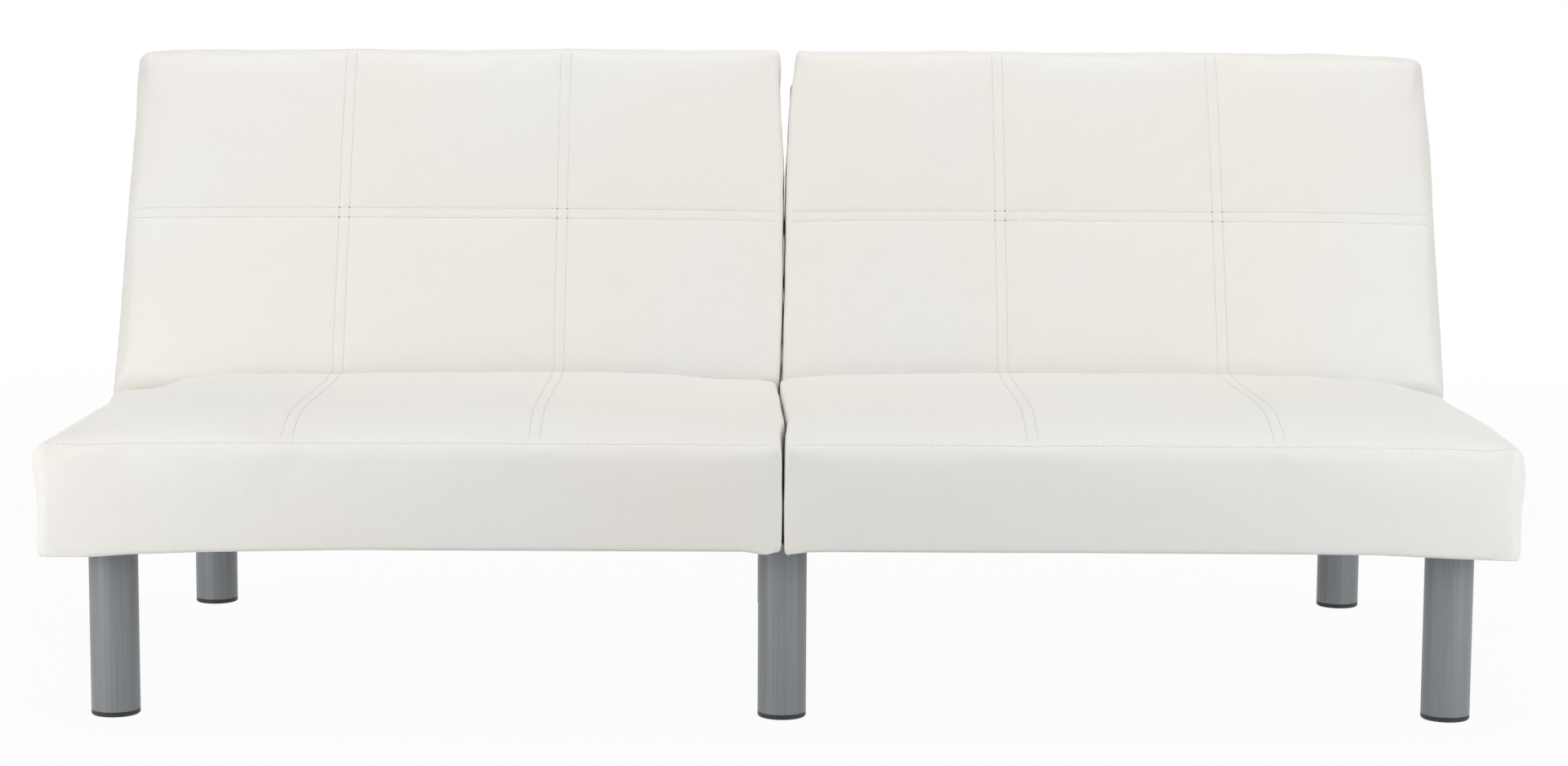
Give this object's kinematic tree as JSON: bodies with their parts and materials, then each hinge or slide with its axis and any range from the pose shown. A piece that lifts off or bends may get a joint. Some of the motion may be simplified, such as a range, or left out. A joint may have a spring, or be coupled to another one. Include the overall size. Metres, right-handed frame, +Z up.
{
  "type": "click clack sofa bed",
  "caption": "Split-back click clack sofa bed with pale leatherette cushions on a steel frame with round metal legs; each back folds down flat on ratchet hinges.",
  "frame": {"origin": "the middle of the sofa's footprint, on the floor", "axes": "+X along the sofa's length to the sitter's left, which is the viewer's right; +Y from the seat's front to the rear; +Z up"},
  "size_m": [1.8, 0.873, 0.8087],
  "materials": {
    "leatherette": "satin",
    "foam": "matte",
    "black_cloth": "matte",
    "plywood": "matte",
    "black_steel": "satin",
    "zinc_steel": "satin",
    "satin_steel": "satin",
    "black_plastic": "matte",
    "black_rubber": "matte"
  },
  "bodies": {
    "base": {"long_rail_left": "black_steel", "long_rail_middle": "black_steel", "long_rail_right": "black_steel", "leg_front_left": "satin_steel", "foot_front_left": "black_plastic", "leg_front_middle": "satin_steel", "foot_front_middle": "black_plastic", "leg_front_right": "satin_steel", "foot_front_right": "black_plastic", "leg_rear_left": "satin_steel", "foot_rear_left": "black_plastic", "leg_rear_middle": "satin_steel", "foot_rear_middle": "black_plastic", "leg_rear_right": "satin_steel", "foot_rear_right": "black_plastic", "front_rail_left": "black_steel", "seat_rail_left": "black_steel", "rear_rail_left": "black_steel", "rest_pad_left": "black_rubber", "seat_board_left": "plywood", "seat_foam_left": "foam", "seat_cover_left": "leatherette", "seat_dust_cloth_left": "black_cloth", "hinge_leaf_left_outer": "zinc_steel", "hinge_pin_left_outer": "zinc_steel", "pawl_spring_left_outer": "zinc_steel", "hinge_leaf_left_inner": "zinc_steel", "hinge_pin_left_inner": "zinc_steel", "pawl_spring_left_inner": "zinc_steel", "front_rail_right": "black_steel", "seat_rail_right": "black_steel", "rear_rail_right": "black_steel", "rest_pad_right": "black_rubber", "seat_board_right": "plywood", "seat_foam_right": "foam", "seat_cover_right": "leatherette", "seat_dust_cloth_right": "black_cloth", "hinge_leaf_right_outer": "zinc_steel", "hinge_pin_right_outer": "zinc_steel", "pawl_spring_right_outer": "zinc_steel", "hinge_leaf_right_inner": "zinc_steel", "hinge_pin_right_inner": "zinc_steel", "pawl_spring_right_inner": "zinc_steel"},
    "back_left": {"back_cover_left": "leatherette", "back_foam_left": "foam", "back_board_left": "plywood", "back_rear_cloth_left": "black_cloth", "hinge_arm_left_outer": "zinc_steel", "hinge_arm_left_inner": "zinc_steel"},
    "pawl_left_outer_body": {"pawl_left_outer": "zinc_steel"},
    "pawl_left_inner_body": {"pawl_left_inner": "zinc_steel"},
    "back_right": {"back_cover_right": "leatherette", "back_foam_right": "foam", "back_board_right": "plywood", "back_rear_cloth_right": "black_cloth", "hinge_arm_right_outer": "zinc_steel", "hinge_arm_right_inner": "zinc_steel"},
    "pawl_right_outer_body": {"pawl_right_outer": "zinc_steel"},
    "pawl_right_inner_body": {"pawl_right_inner": "zinc_steel"}
  },
  "joints": [
    {"name": "back_fold_left", "type": "hinge", "parent": "base", "child": "back_left", "pos_m": [-0.45, 0.13263, 0.257], "axis": [-1, 0, 0], "range_deg": [0, 66.4]},
    {"name": "pawl_lift_left_outer", "type": "hinge", "parent": "base", "child": "pawl_left_outer_body", "pos_m": [-0.7974, 0.11363, 0.228], "axis": [-1, 0, 0], "range_deg": [0, 15], "stiffness_Nm_per_rad": 0.03, "springref_deg": -57.3, "deforming": ["pawl_spring_left_outer"]},
    {"name": "pawl_lift_left_inner", "type": "hinge", "parent": "base", "child": "pawl_left_inner_body", "pos_m": [-0.0266, 0.11363, 0.228], "axis": [-1, 0, 0], "range_deg": [0, 15], "stiffness_Nm_per_rad": 0.03, "springref_deg": -57.3, "deforming": ["pawl_spring_left_inner"]},
    {"name": "back_fold_right", "type": "hinge", "parent": "base", "child": "back_right", "pos_m": [0.45, 0.13263, 0.257], "axis": [-1, 0, 0], "range_deg": [0, 66.4]},
    {"name": "pawl_lift_right_outer", "type": "hinge", "parent": "base", "child": "pawl_right_outer_body", "pos_m": [0.7974, 0.11363, 0.228], "axis": [-1, 0, 0], "range_deg": [0, 15], "stiffness_Nm_per_rad": 0.03, "springref_deg": -57.3, "deforming": ["pawl_spring_right_outer"]},
    {"name": "pawl_lift_right_inner", "type": "hinge", "parent": "base", "child": "pawl_right_inner_body", "pos_m": [0.0266, 0.11363, 0.228], "axis": [-1, 0, 0], "range_deg": [0, 15], "stiffness_Nm_per_rad": 0.03, "springref_deg": -57.3, "deforming": ["pawl_spring_right_inner"]}
  ]
}
